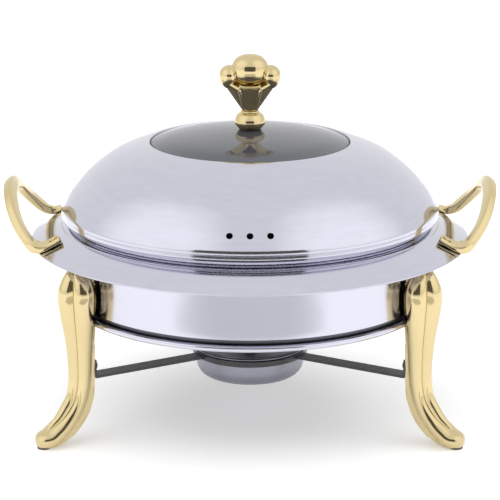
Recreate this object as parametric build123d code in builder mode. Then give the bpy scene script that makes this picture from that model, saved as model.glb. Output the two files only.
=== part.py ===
from build123d import *
import os
from math import atan, cos, degrees, radians, sin

# Round chafing dish, millimetres. The origin is on the dish's axis at table level,
# +Z is up and -Y is the front, where the lid has its three vent holes.

# ---- driving dimensions -------------------------------------------------------------
LEG_ANGLES = {"leg_front_left": 210, "leg_front_right": 330, "leg_rear": 90}
STRIP_ANGLES = {"burner_strip_left": 210, "burner_strip_right": 330, "burner_strip_rear": 90}
LEG_BACK = 150.4          # radius of the legs' flat backs
SOLE_HEIGHT = 1.2         # felt under each foot
TOE_RADIUS = 194.0        # radius where the toe rests
SOLE_RADIUS = 5.4
TAB_SCREW = 2.0           # radius of the screws that hold the strips
HANDLE_SCREW = 1.5
KNOB_SCREW = 2.5
FIT = 0.05                # gap between pieces that rest on each other

RING_RADIUS = 150.3       # support ring, centre line
RING_ROD = 2.75           # radius of its rod
RING_HEIGHT = 102.2

PAN_RADIUS = 148.5        # water pan wall, outside
PAN_BOTTOM = 94.6
PAN_CORNER = 14.0
PAN_SHEET = 1.0
FLANGE_TOP = 170.0        # where the flange leaves the wall
FLANGE_CREST = 153.0      # radius of that bend
FLANGE_EDGE = 183.0
FLANGE_EDGE_HEIGHT = 155.0
FLANGE_STEP = 157.5       # radius of the small step in the flange

FOOD_RADIUS = 146.4       # food pan wall, outside
FOOD_BOTTOM = 116.0
FOOD_CORNER = 18.0
FOOD_RIM = 154.8
FOOD_RIM_TOP = 174.2
FOOD_SHEET = 0.8
FOOD_BEAD = 151.0         # radius of the bead that rests on the water pan
FOOD_BEAD_WIDTH = 2.8

LID_SHEET = 1.0
LID_HEM = 156.4           # radius of the rolled hem's centre line
LID_HEM_HEIGHT = 176.4
LID_HEM_ROLL = 1.5
LID_LIP = 5.2             # how far the lip runs in from the hem
LID_SIDE = [(157.9, 179.0), (155.9, 185.0), (150.6, 193.0), (143.9, 201.0), (136.2, 209.0),
            (126.4, 217.0), (115.8, 224.0), (105.1, 229.0), (93.5, 233.0), (84.4, 235.3)]
WINDOW_EDGE = 82.3        # radius of the glass
WINDOW_SEAT = 229.6       # top of the ledge under the glass
GLASS_TOP = 245.0
GLASS_THICKNESS = 4.0
GLASS_EDGE_TOP = 234.6
GLASS_CROWN = [(47.0, 242.2), (66.4, 239.2)]
WINDOW_LEDGE = 6.0        # width of the ledge under the glass
VENT_RADIUS = 150.2       # the vent holes' distance from the axis
VENT_HEIGHT = 193.6
VENT_HOLE = 2.7
VENT_STEP = 6.0           # degrees between vent holes

KNOB_BOTTOM = 245.8
COLLAR_TOP = 260.6
COLLAR_BALL = 12.3
KNOB_BALL = 14.75
KNOB_BALL_HEIGHT = 294.5
KNOB_NECK = 6.4
KNOB_FLARE = [(272, 12.0, 9.2), (284, 20.0, 12.6), (290, 21.5, 13.0)]  # height, half width, half depth
KNOB_LOBE = 8.6           # side lobes
KNOB_LOBE_REACH = 16.6
KNOB_LOBE_HEIGHT = 290.8
KNOB_TIP = 5.6            # tips of the crown, front and back
KNOB_TIP_REACH = (12.6, 7.2)
KNOB_TIP_HEIGHT = 285.2

HANDLE_REACH = 174.0      # radius at the loop's foot, along X
HANDLE_FOOT_HEIGHT = 163.0
HANDLE_TILT = 53.7        # degrees that the loop's plane leans up from the table
HANDLE_HALF_SPAN = 58.0
HANDLE_RISE = 44.7
PAD_ANGLE = 19.6          # degrees of each handle foot from the X axis
PAD_RADIUS = 173.5
PAD_LENGTH = 19.0
PAD_WIDTH = 12.0
PAD_HEIGHT = 4.6
BAR_THICKNESS = 7.6
BAR_WIDTH = 10.4

HOLDER_INNER = 46.3
HOLDER_OUTER = 49.0
HOLDER_BOTTOM = 52.2
HOLDER_TOP = 57.5
STRIP_WIDTH = 12.0
STRIP_SHEET = 2.5
STRIP_BOTTOM = 53.6
TAB_HEIGHT = 16.0

CUP_RADIUS = 45.5
CUP_BOTTOM = 32.9
CUP_CORNER = 11.0
CUP_SHEET = 0.8
CUP_RIM = 48.2
FLAME_OPENING = 20.0
PIVOT_REACH = 32.0        # the cover's pivot, behind the axis

os.makedirs("parts", exist_ok=True)


def save(builder, label):
    """Label a finished piece and write its file."""
    builder.part.label = label
    export_step(builder.part, f"parts/{label}.step")


# ---- legs -----------------------------------------------------------------------------
# Each station across a leg: radius, height, lean of the leg in degrees (0 is straight down,
# 90 is straight out), half width, reach of the middle lobe forwards, reach to the back.
LEG_STATIONS = [
    (161.5, 149.0, -6, 6.0, 5.0, 4.5),
    (162.0, 145.5, -4, 13.0, 10.0, 8.5),
    (162.3, 138.0, 0, 18.0, 14.5, 11.2),
    (162.8, 124.0, 0, 20.0, 16.4, 12.4),
    (161.8, 103.0, 0, 17.0, 14.4, 11.4),
    (160.8, 78.0, 0, 13.2, 10.8, 10.4),
    (160.2, 54.0, 4, 11.4, 9.8, 9.8),
    (163.4, 36.5, 22, 11.0, 9.4, 9.0),
    (171.8, 22.0, 48, 11.4, 9.0, 8.4),
    (183.6, 12.4, 70, 12.4, 8.2, 8.8),
    (193.6, 9.2, 82, 11.8, 6.4, 9.4),
    (200.6, 8.2, 88, 6.5, 3.2, 6.8),
]


def leg_section(half_width, front, back):
    """Draw one three-lobed section: a middle lobe, two side lobes and a flat back."""
    crease = (front * 0.60, half_width * 0.46)
    side = (front * 0.02, half_width)
    heel = (-back, half_width * 0.62)
    ThreePointArc((crease[0], -crease[1]), (front, 0), crease)
    ThreePointArc(crease, side, heel)
    Line(heel, (heel[0], -heel[1]))
    ThreePointArc((heel[0], -heel[1]), (side[0], -side[1]), (crease[0], -crease[1]))


CUT_LENGTH = 90           # blocks that trim the sole and the back are larger than the leg
CUT_WIDTH = 60
CUT_DEPTH = 20

with BuildPart() as leg_casting:
    for radius, height, lean, half_width, front, back in LEG_STATIONS:
        along = (sin(radians(lean)), 0, -cos(radians(lean)))
        outwards = (cos(radians(lean)), 0, sin(radians(lean)))
        with BuildSketch(Plane(origin=(radius, 0, height), x_dir=outwards, z_dir=along)):
            with BuildLine():
                leg_section(half_width, front, back)
            make_face()
    loft()
    with BuildSketch(Plane.XY.offset(SOLE_HEIGHT)):
        with Locations((TOE_RADIUS, 0)):
            Rectangle(CUT_LENGTH, CUT_WIDTH)
    extrude(amount=-CUT_DEPTH, mode=Mode.SUBTRACT)
    with BuildSketch(Plane.XY.offset(STRIP_BOTTOM - 4)):
        with Locations((LEG_BACK - CUT_DEPTH, 0)):
            Rectangle(2 * CUT_DEPTH, CUT_WIDTH)
    extrude(amount=CUT_LENGTH + CUT_DEPTH, mode=Mode.SUBTRACT)
    with BuildSketch(Plane.XZ):
        with Locations((RING_RADIUS, RING_HEIGHT)):
            Circle(RING_ROD)
    revolve(axis=Axis.Z, mode=Mode.SUBTRACT)
    with BuildSketch(Plane.YZ.offset(LEG_BACK - 1)):
        with Locations((0, STRIP_BOTTOM + 10)):
            Circle(TAB_SCREW)
    extrude(amount=9, mode=Mode.SUBTRACT)

for name, angle in LEG_ANGLES.items():
    with BuildPart() as leg:
        add(leg_casting.part, rotation=(0, 0, angle))
    save(leg, name)

# ---- stand: ring, strips, holder, screws, soles -----------------------------------------
with BuildPart() as support_ring:
    with BuildSketch(Plane.XZ):
        with Locations((RING_RADIUS, RING_HEIGHT)):
            Circle(RING_ROD - 0.02)
    revolve(axis=Axis.Z)
save(support_ring, "support_ring")

TAB_FACE = LEG_BACK - 0.05
SCREW_HEIGHT = STRIP_BOTTOM + 10

with BuildPart() as strip_bar:
    with BuildSketch(Plane.XZ):
        with BuildLine():
            FilletPolyline(
                (HOLDER_OUTER - 2, STRIP_BOTTOM),
                (TAB_FACE, STRIP_BOTTOM),
                (TAB_FACE, STRIP_BOTTOM + TAB_HEIGHT),
                (TAB_FACE - STRIP_SHEET, STRIP_BOTTOM + TAB_HEIGHT),
                (TAB_FACE - STRIP_SHEET, STRIP_BOTTOM + STRIP_SHEET),
                (HOLDER_OUTER - 2, STRIP_BOTTOM + STRIP_SHEET),
                radius=[2.8, 0.6, 0.6, 0.5],
            )
            Line((HOLDER_OUTER - 2, STRIP_BOTTOM + STRIP_SHEET), (HOLDER_OUTER - 2, STRIP_BOTTOM))
        make_face()
    extrude(amount=STRIP_WIDTH / 2, both=True)
    with BuildSketch(Plane.XY.offset(STRIP_BOTTOM - 5)):
        Circle(HOLDER_OUTER)
    extrude(amount=20, mode=Mode.SUBTRACT)
    with BuildSketch(Plane.YZ.offset(TAB_FACE - 8)):
        with Locations((0, SCREW_HEIGHT)):
            Circle(TAB_SCREW + 0.1)
    extrude(amount=10, mode=Mode.SUBTRACT)

for name, angle in STRIP_ANGLES.items():
    with BuildPart() as burner_strip:
        add(strip_bar.part, rotation=(0, 0, angle))
    save(burner_strip, name)

with BuildPart() as burner_holder_ring:
    with BuildSketch(Plane.XY.offset(HOLDER_BOTTOM)):
        Circle(HOLDER_OUTER)
        Circle(HOLDER_INNER, mode=Mode.SUBTRACT)
    extrude(amount=HOLDER_TOP - HOLDER_BOTTOM)
    fillet(burner_holder_ring.edges().filter_by(GeomType.CIRCLE), radius=0.7)
save(burner_holder_ring, "burner_holder_ring")

with BuildPart() as strip_screw:
    with BuildSketch(Plane.YZ):
        Circle(TAB_SCREW - 0.05)
    extrude(amount=8)
    with BuildSketch(Plane.YZ):
        Circle(2 * TAB_SCREW)
    extrude(amount=-2.6)
    fillet(strip_screw.edges().sort_by(Axis.X)[0], radius=2.0)

with BuildPart() as strip_screws:
    for angle in STRIP_ANGLES.values():
        reach = TAB_FACE - STRIP_SHEET
        place = (reach * cos(radians(angle)), reach * sin(radians(angle)), SCREW_HEIGHT)
        with Locations(Location(place, (0, 0, angle))):
            add(strip_screw.part)
save(strip_screws, "strip_screws")

with BuildPart() as foot_pads:
    with BuildSketch(Plane.XY):
        for angle in LEG_ANGLES.values():
            with Locations((TOE_RADIUS * cos(radians(angle)), TOE_RADIUS * sin(radians(angle)))):
                Circle(SOLE_RADIUS)
    extrude(amount=SOLE_HEIGHT)
save(foot_pads, "foot_pads")

# ---- water pan -----------------------------------------------------------------------------
FLANGE_FALL = (FLANGE_TOP - FLANGE_EDGE_HEIGHT) / (FLANGE_EDGE - FLANGE_CREST)


def flange_height(radius):
    """Height of the flange's upper face at a radius."""
    return FLANGE_EDGE_HEIGHT + (FLANGE_EDGE - radius) * FLANGE_FALL


def pad_location(angle, lift):
    """Place on the flange under a handle foot, lifted along the flange's own normal."""
    slope = degrees(atan(FLANGE_FALL))
    reach = PAD_RADIUS + lift * sin(radians(slope))
    height = flange_height(PAD_RADIUS) + lift * cos(radians(slope))
    place = (reach * cos(radians(angle)), reach * sin(radians(angle)), height)
    return Location(place, (0, 0, angle)) * Location((0, 0, 0), (0, slope, 0))


PAD_ANGLES = {"right": (-PAD_ANGLE, PAD_ANGLE), "left": (180 - PAD_ANGLE, 180 + PAD_ANGLE)}
ALL_PADS = [angle for pair in PAD_ANGLES.values() for angle in pair]

with BuildPart() as water_pan:
    with BuildSketch(Plane.XZ):
        with BuildLine():
            inside = PAN_RADIUS - PAN_SHEET
            FilletPolyline(
                (0, PAN_BOTTOM + PAN_SHEET),
                (inside, PAN_BOTTOM + PAN_SHEET),
                (inside, FLANGE_TOP),
                (FLANGE_CREST, FLANGE_TOP),
                (FLANGE_STEP, flange_height(FLANGE_STEP) + 0.4),
                (FLANGE_STEP + 1, flange_height(FLANGE_STEP + 1)),
                (FLANGE_EDGE, FLANGE_EDGE_HEIGHT),
                radius=[PAN_CORNER - PAN_SHEET, 1.5, 2.5, 0.3, 0.3],
            )
            offset(amount=PAN_SHEET, side=Side.RIGHT)
        make_face()
    revolve(axis=Axis.Z)
    with Locations([pad_location(angle, 0) for angle in ALL_PADS]):
        Hole(radius=HANDLE_SCREW + 0.7, depth=4)
save(water_pan, "water_pan")

# ---- handles -------------------------------------------------------------------------------
LOOP = [(-HANDLE_HALF_SPAN, -4), (-50, 12.2), (-36, 26.5), (-20, 38.2), (0, HANDLE_RISE),
        (20, 38.2), (36, 26.5), (50, 12.2), (HANDLE_HALF_SPAN, -4)]
loop_normal = (-sin(radians(HANDLE_TILT)), 0, cos(radians(HANDLE_TILT)))
loop_foot = (HANDLE_REACH, 0, HANDLE_FOOT_HEIGHT)
loop_back = (sin(radians(HANDLE_TILT)), 0, -cos(radians(HANDLE_TILT)))
loop_plane = Plane(origin=loop_foot, x_dir=(0, 1, 0), z_dir=loop_back)

with BuildPart() as handle_casting:
    with BuildLine(loop_plane) as loop_path:
        Spline(*LOOP)
    with BuildSketch(Plane(origin=loop_path.line @ 0, x_dir=loop_normal, z_dir=loop_path.line % 0)):
        RectangleRounded(BAR_THICKNESS, BAR_WIDTH, 3.2)
    sweep()
    for angle in PAD_ANGLES["right"]:
        with BuildSketch(Plane(pad_location(angle, 0.3))):
            RectangleRounded(PAD_LENGTH, PAD_WIDTH, 4.5)
        extrude(amount=PAD_HEIGHT)
    with Locations([pad_location(angle, 0) for angle in PAD_ANGLES["right"]]):
        Cylinder(radius=HANDLE_SCREW, height=6, mode=Mode.SUBTRACT)

for name, angle in (("handle_right", 0), ("handle_left", 180)):
    with BuildPart() as handle:
        add(handle_casting.part, rotation=(0, 0, angle))
    save(handle, name)

with BuildPart() as handle_screw:
    with BuildSketch(Plane.XY.offset(-2.1)):
        Circle(HANDLE_SCREW - FIT)
    extrude(amount=4.9)
    with BuildSketch(Plane.XY.offset(-2.1)):
        Circle(2.4 * HANDLE_SCREW)
    extrude(amount=-2.4)
    fillet(handle_screw.edges().sort_by(Axis.Z)[0], radius=1.8)

with BuildPart() as handle_screws:
    with Locations([pad_location(angle, 0) for angle in ALL_PADS]):
        add(handle_screw.part)
save(handle_screws, "handle_screws")

with BuildPart() as handle_washers:
    with Locations([pad_location(angle, -1.6) for angle in ALL_PADS]):
        Cylinder(radius=5.0, height=0.8)
        Cylinder(radius=HANDLE_SCREW + 0.2, height=0.8, mode=Mode.SUBTRACT)
save(handle_washers, "handle_washers")

# ---- food pan ------------------------------------------------------------------------------
with BuildPart() as food_pan:
    with BuildSketch(Plane.XZ):
        with BuildLine():
            FilletPolyline(
                (0, FOOD_BOTTOM),
                (FOOD_RADIUS, FOOD_BOTTOM),
                (FOOD_RADIUS, FOOD_RIM_TOP - 1),
                (FOOD_RIM, FOOD_RIM_TOP - 1),
                (FOOD_RIM, FOOD_RIM_TOP),
                (FOOD_RADIUS - FOOD_SHEET, FOOD_RIM_TOP),
                (FOOD_RADIUS - FOOD_SHEET, FOOD_BOTTOM + FOOD_SHEET),
                (0, FOOD_BOTTOM + FOOD_SHEET),
                radius=[FOOD_CORNER, 0.8, 0.4, 0.4, 1.6, FOOD_CORNER - FOOD_SHEET],
            )
            Line((0, FOOD_BOTTOM + FOOD_SHEET), (0, FOOD_BOTTOM))
        make_face()
    revolve(axis=Axis.Z)
    bead_height = FOOD_RIM_TOP - FLANGE_TOP - 0.75
    with BuildSketch(Plane.XZ):
        with Locations((FOOD_BEAD, FLANGE_TOP + FIT + bead_height / 2)):
            RectangleRounded(FOOD_BEAD_WIDTH, bead_height, 0.9)
    revolve(axis=Axis.Z)
save(food_pan, "food_pan")

# ---- lid -----------------------------------------------------------------------------------
SHOULDER = LID_SIDE[0][0]
ledge_radius = WINDOW_EDGE - WINDOW_LEDGE
recess_radius = WINDOW_EDGE + 1.2

with BuildPart() as lid_shell:
    with BuildSketch(Plane.XZ):
        with BuildLine():
            side = Spline(*LID_SIDE, tangents=[(0, 1), (-0.92, 0.39)])
            seat = FilletPolyline(
                side @ 1,
                (recess_radius, side.position_at(1).Y - 0.4),
                (recess_radius, WINDOW_SEAT),
                (ledge_radius, WINDOW_SEAT),
                radius=[0.5, 0.5],
            )
            Line(seat @ 1, (ledge_radius, WINDOW_SEAT - LID_SHEET))
            under = FilletPolyline(
                (ledge_radius, WINDOW_SEAT - LID_SHEET),
                (recess_radius + LID_SHEET, WINDOW_SEAT - LID_SHEET),
                (recess_radius + LID_SHEET, side.position_at(1).Y - 1.8),
                (recess_radius + 3.2, side.position_at(1).Y - 2.0),
                radius=[1.0, 0.8],
            )
            inner = [(radius - LID_SHEET, height - 0.5 * LID_SHEET) for radius, height in LID_SIDE[:-1]]
            inside = Spline(*inner, under @ 1, tangents=[(0, 1), (-0.92, 0.39)])
            Line(inside @ 0, side @ 0)
        make_face()
    revolve(axis=Axis.Z)
    with BuildSketch(Plane.XZ):
        with Locations((LID_HEM, LID_HEM_HEIGHT)):
            Circle(LID_HEM_ROLL)
        with BuildLine():
            Polyline(
                (SHOULDER, LID_SIDE[0][1]),
                (SHOULDER, LID_HEM_HEIGHT),
                (SHOULDER - LID_SHEET, LID_HEM_HEIGHT),
                (SHOULDER - LID_SHEET, LID_SIDE[0][1] - 0.5 * LID_SHEET),
                close=True,
            )
        make_face()
        with Locations((LID_HEM - LID_LIP / 2, FOOD_RIM_TOP + 0.1 + LID_SHEET / 2)):
            Rectangle(LID_LIP, LID_SHEET)
    revolve(axis=Axis.Z)
    for step in (-1, 0, 1):
        with BuildSketch(Plane.XZ.rotated((0, 0, VENT_STEP * step)).offset(VENT_RADIUS - 12)):
            with Locations((0, VENT_HEIGHT)):
                Circle(VENT_HOLE)
        extrude(amount=24, mode=Mode.SUBTRACT)
save(lid_shell, "lid_shell")

with BuildPart() as window_gasket:
    with BuildSketch(Plane.XZ):
        with BuildLine():
            Polyline(
                (WINDOW_EDGE - 5.5, WINDOW_SEAT + 0.02),
                (WINDOW_EDGE + 0.5, WINDOW_SEAT + 0.02),
                (WINDOW_EDGE + 1.12, WINDOW_SEAT + 0.65),
                (WINDOW_EDGE + 1.12, GLASS_EDGE_TOP - 0.3),
                (WINDOW_EDGE + 0.1, GLASS_EDGE_TOP - 0.3),
                (WINDOW_EDGE + 0.1, WINDOW_SEAT + 0.9),
                (WINDOW_EDGE - 5.5, WINDOW_SEAT + 0.9),
                close=True,
            )
        make_face()
    revolve(axis=Axis.Z)
save(window_gasket, "window_gasket")

with BuildPart() as window_glass:
    with BuildSketch(Plane.XZ):
        with BuildLine():
            edge_top = (WINDOW_EDGE, GLASS_EDGE_TOP)
            Spline((0, GLASS_TOP), *GLASS_CROWN, edge_top, tangents=[(1, 0), (0.94, -0.35)])
            edge = Line(edge_top, (WINDOW_EDGE, WINDOW_SEAT + 0.95))
            under_crown = [(radius, height - GLASS_THICKNESS) for radius, height in reversed(GLASS_CROWN)]
            bottom = Spline(
                edge @ 1,
                *under_crown,
                (0, GLASS_TOP - GLASS_THICKNESS),
                tangents=[(-0.94, 0.35), (-1, 0)],
            )
            Line(bottom @ 1, (0, GLASS_TOP))
        make_face()
    revolve(axis=Axis.Z)
    with BuildSketch(Plane.XY.offset(GLASS_TOP - 10)):
        Circle(KNOB_SCREW + 2)
    extrude(amount=20, mode=Mode.SUBTRACT)
save(window_glass, "window_glass")

# ---- knob ----------------------------------------------------------------------------------
with BuildPart() as knob_collar:
    with Locations((0, 0, KNOB_BOTTOM + 4.6)):
        Sphere(COLLAR_BALL)
    with BuildSketch(Plane.XY.offset(KNOB_BOTTOM)):
        Rectangle(40, 40)
    extrude(amount=-20, mode=Mode.SUBTRACT)
    with BuildSketch(Plane.XY.offset(COLLAR_TOP)):
        Rectangle(40, 40)
    extrude(amount=20, mode=Mode.SUBTRACT)
    with BuildSketch(Plane.XY.offset(KNOB_BOTTOM)):
        Circle(KNOB_SCREW + 0.1)
    extrude(amount=20, mode=Mode.SUBTRACT)
save(knob_collar, "knob_collar")

with BuildPart() as knob_crown:
    with BuildSketch(Plane.XY.offset(COLLAR_TOP + 0.02)):
        Circle(KNOB_NECK)
    for height, half_width, half_depth in KNOB_FLARE:
        with BuildSketch(Plane.XY.offset(height)):
            Ellipse(half_width, half_depth)
    loft()
    with Locations((0, 0, KNOB_BALL_HEIGHT)):
        Sphere(KNOB_BALL)
    with Locations((-KNOB_LOBE_REACH, 0, KNOB_LOBE_HEIGHT), (KNOB_LOBE_REACH, 0, KNOB_LOBE_HEIGHT)):
        Sphere(KNOB_LOBE)
    with Locations(Location((0, 0, KNOB_TIP_HEIGHT))):
        with GridLocations(2 * KNOB_TIP_REACH[0], 2 * KNOB_TIP_REACH[1], 2, 2):
            Sphere(KNOB_TIP)
    with BuildSketch(Plane.XY.offset(COLLAR_TOP - 1)):
        Circle(KNOB_SCREW + 0.02)
    extrude(amount=14, mode=Mode.SUBTRACT)
save(knob_crown, "knob_crown")

with BuildPart() as knob_seal:
    with BuildSketch(Plane.XY.offset(GLASS_TOP + FIT)):
        Circle(9.0)
        Circle(KNOB_SCREW + 0.2, mode=Mode.SUBTRACT)
    extrude(amount=KNOB_BOTTOM - GLASS_TOP - 0.07)
save(knob_seal, "knob_seal")

with BuildPart() as knob_backing_washer:
    with BuildSketch(Plane.XY.offset(GLASS_TOP - GLASS_THICKNESS - 0.4)):
        Circle(11.0)
        Circle(KNOB_SCREW + 0.3, mode=Mode.SUBTRACT)
    extrude(amount=-1.2)
save(knob_backing_washer, "knob_backing_washer")

KNOB_SCREW_SEAT = GLASS_TOP - GLASS_THICKNESS - 1.62

with BuildPart() as knob_screw:
    with BuildSketch(Plane.XY.offset(KNOB_SCREW_SEAT)):
        Circle(KNOB_SCREW)
    extrude(amount=32)
    with BuildSketch(Plane.XY.offset(KNOB_SCREW_SEAT)):
        Circle(4.8)
    extrude(amount=-3.2)
    fillet(knob_screw.edges().sort_by(Axis.Z)[0], radius=2.0)
save(knob_screw, "knob_screw")

# ---- burner --------------------------------------------------------------------------------
RIM_HEIGHT = HOLDER_TOP + 1.6
PIVOT_PIN = 1.52
CUP_INSIDE = CUP_RADIUS - CUP_SHEET

with BuildPart() as burner_cup:
    with BuildSketch(Plane.XZ):
        with BuildLine():
            FilletPolyline(
                (0, CUP_BOTTOM),
                (CUP_RADIUS, CUP_BOTTOM),
                (CUP_RADIUS, HOLDER_TOP + 0.1),
                (CUP_RIM, HOLDER_TOP + 0.1),
                (CUP_RIM, RIM_HEIGHT),
                (CUP_INSIDE, RIM_HEIGHT),
                (CUP_INSIDE, CUP_BOTTOM + CUP_SHEET),
                (0, CUP_BOTTOM + CUP_SHEET),
                radius=[CUP_CORNER, 0.2, 0.6, 0.6, 0.6, CUP_CORNER - CUP_SHEET],
            )
            Line((0, CUP_BOTTOM + CUP_SHEET), (0, CUP_BOTTOM))
        make_face()
    revolve(axis=Axis.Z)
save(burner_cup, "burner_cup")

TOP_HEIGHT = RIM_HEIGHT + FIT
COVER_HEIGHT = TOP_HEIGHT + 1.3
COVER_SHEET = 1.0
TAB_WIDTH = 9.0           # the cover's finger tab

with BuildPart() as burner_top:
    with BuildSketch(Plane.XY.offset(TOP_HEIGHT)):
        Circle(CUP_RADIUS + 0.5)
    extrude(amount=0.9)
    fillet(burner_top.edges().sort_by(Axis.Z)[-1], radius=0.5)
    with BuildSketch(Plane.XY.offset(TOP_HEIGHT)):
        Circle(CUP_INSIDE - 0.15)
        Circle(CUP_INSIDE - 0.95, mode=Mode.SUBTRACT)
    extrude(amount=-5)
    with BuildSketch(Plane.XY.offset(TOP_HEIGHT)):
        Circle(FLAME_OPENING)
        with Locations((0, PIVOT_REACH)):
            Circle(PIVOT_PIN + 0.03)
    extrude(amount=2, mode=Mode.SUBTRACT)
save(burner_top, "burner_top")

with BuildPart() as burner_wick:
    with BuildSketch(Plane.XY.offset(CUP_BOTTOM + CUP_SHEET + 0.3)):
        Circle(CUP_RADIUS - CUP_CORNER - 0.6)
    with BuildSketch(Plane.XY.offset(CUP_BOTTOM + CUP_CORNER)):
        Circle(CUP_INSIDE - 1.2)
    with BuildSketch(Plane.XY.offset(CUP_BOTTOM + 18)):
        Circle(CUP_INSIDE - 1.2)
    loft(ruled=True)
save(burner_wick, "burner_wick")

with BuildPart() as burner_cover:
    with BuildSketch(Plane.XY.offset(COVER_HEIGHT)):
        Circle(FLAME_OPENING + 3)
        with Locations((0, PIVOT_REACH / 2 + 6)):
            Rectangle(11, 24)
        with Locations((0, PIVOT_REACH)):
            Circle(5.5)
            Circle(PIVOT_PIN + 0.04, mode=Mode.SUBTRACT)
        with Locations((0, -(FLAME_OPENING + 8))):
            Rectangle(TAB_WIDTH, 16)
    extrude(amount=COVER_SHEET)
    with BuildSketch(Plane.XY.offset(COVER_HEIGHT)):
        with Locations((0, -(FLAME_OPENING + 15.5))):
            Rectangle(TAB_WIDTH, COVER_SHEET)
    extrude(amount=6)
save(burner_cover, "burner_cover")

with BuildPart() as burner_rivet:
    with BuildSketch(Plane.XY.offset(TOP_HEIGHT - 0.9)):
        with Locations((0, PIVOT_REACH)):
            Circle(2.8)
    extrude(amount=0.88)
    with BuildSketch(Plane.XY.offset(TOP_HEIGHT - 0.9)):
        with Locations((0, PIVOT_REACH)):
            Circle(PIVOT_PIN)
    extrude(amount=COVER_HEIGHT + COVER_SHEET - TOP_HEIGHT + 0.95)
    with BuildSketch(Plane.XY.offset(COVER_HEIGHT + COVER_SHEET + FIT)):
        with Locations((0, PIVOT_REACH)):
            Circle(3.0)
    extrude(amount=1.0)
    with BuildSketch(Plane.XY.offset(TOP_HEIGHT + 0.92)):
        with Locations((0, PIVOT_REACH)):
            Circle(3.0)
            Circle(PIVOT_PIN, mode=Mode.SUBTRACT)
    extrude(amount=0.34)
save(burner_rivet, "burner_rivet")
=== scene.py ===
from math import atan2, cos, hypot, pi, radians, sin, sqrt, tan

import bmesh
import bpy
from mathutils import Matrix, Vector


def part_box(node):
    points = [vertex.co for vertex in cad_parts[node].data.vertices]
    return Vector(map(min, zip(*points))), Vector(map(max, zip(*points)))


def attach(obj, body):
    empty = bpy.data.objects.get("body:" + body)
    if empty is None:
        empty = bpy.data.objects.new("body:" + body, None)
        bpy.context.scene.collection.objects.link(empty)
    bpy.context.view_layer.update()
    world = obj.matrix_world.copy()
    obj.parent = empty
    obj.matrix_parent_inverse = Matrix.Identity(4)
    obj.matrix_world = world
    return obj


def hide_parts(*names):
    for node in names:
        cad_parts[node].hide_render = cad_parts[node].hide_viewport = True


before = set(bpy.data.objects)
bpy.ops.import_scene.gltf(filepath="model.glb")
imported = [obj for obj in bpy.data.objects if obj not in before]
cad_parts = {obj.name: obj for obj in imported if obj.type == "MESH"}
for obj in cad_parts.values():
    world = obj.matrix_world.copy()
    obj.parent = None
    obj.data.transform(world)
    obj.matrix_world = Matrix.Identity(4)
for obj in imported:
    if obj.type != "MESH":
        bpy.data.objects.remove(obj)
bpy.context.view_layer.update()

bl_info = {
    "name": "Round chafing dish",
    "version": (1, 0, 0),
    "blender": (4, 5, 0),
    "location": "3D View > Sidebar > Chafing Dish",
    "description": "Builds the looks of a round chafing dish around its fixed frame",
    "category": "Object",
}

MM = 0.001
PAN_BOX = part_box("water_pan")
GLASS_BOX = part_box("window_glass")
CUP_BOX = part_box("burner_cup")
KNOB_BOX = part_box("knob_crown")
COLLAR_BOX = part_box("knob_collar")
RING_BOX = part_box("support_ring")
LEG_TURNS = {"leg_front_left": 210, "leg_front_right": 330, "leg_rear": 90}


# ---- sizes and colours a user would change ------------------------------------------------


def length(name, description, default):
    """A length property, in metres."""
    return bpy.props.FloatProperty(
        name=name, description=description, default=default, min=0.0, unit="LENGTH", precision=5
    )


def colour(name, description, default):
    """A colour property, without alpha."""
    return bpy.props.FloatVectorProperty(
        name=name, description=description, default=default, size=3, min=0.0, max=1.0, subtype="COLOR"
    )


class ChafingSizes(bpy.types.PropertyGroup):
    """Sizes of the dish's pieces."""

    lid_sheet: length("Lid sheet", "Thickness of the lid's sheet", 0.9 * MM)
    vent: length("Vent radius", "Radius of each of the three vent holes", 2.7 * MM)
    window: length("Window radius", "Radius of the glass in the lid", GLASS_BOX[1].x)
    glass: length("Glass thickness", "Thickness of the window glass", 4.0 * MM)
    flange: length("Flange radius", "Radius of the water pan's rim", PAN_BOX[1].x)
    pan_sheet: length("Pan sheet", "Thickness of the water pan's sheet", 1.0 * MM)
    bar_width: length("Handle width", "Width of the handle bar", 12.0 * MM)
    bar_thickness: length("Handle thickness", "Thickness of the handle bar", 8.4 * MM)
    ball: length("Knob ball", "Half width of the ball in the knob's middle", 15.3 * MM)
    cup: length("Burner cup", "Radius of the burner's cup", 45.5 * MM)
    ring: length("Ring rod", "Radius of the support ring's rod", 2.75 * MM)


class ChafingColours(bpy.types.PropertyGroup):
    """Colours of the dish's finishes."""

    steel: colour("Steel", "Polished stainless steel", (0.60, 0.60, 0.685))
    satin: colour("Satin steel", "Brushed stainless steel", (0.30, 0.305, 0.355))
    gold: colour("Gold", "Polished gold plate", (0.67, 0.55, 0.305))
    glass: colour("Glass", "Smoke tint of the window", (0.20, 0.21, 0.25))
    enamel: colour("Enamel", "Black enamel of the burner's carrier", (0.020, 0.020, 0.024))
    rubber: colour("Seal", "Dark silicone of the seals", (0.022, 0.022, 0.024))
    wick: colour("Wick", "Mineral fibre of the wick", (0.72, 0.69, 0.62))
    felt: colour("Felt", "Felt under the feet", (0.10, 0.09, 0.085))


# ---- finishes -------------------------------------------------------------------------------


def new_finish(name):
    """An empty material with its node tree and its shader."""
    material = bpy.data.materials.new(name)
    material.use_nodes = True
    tree = material.node_tree
    return material, tree, tree.nodes["Principled BSDF"]


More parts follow.
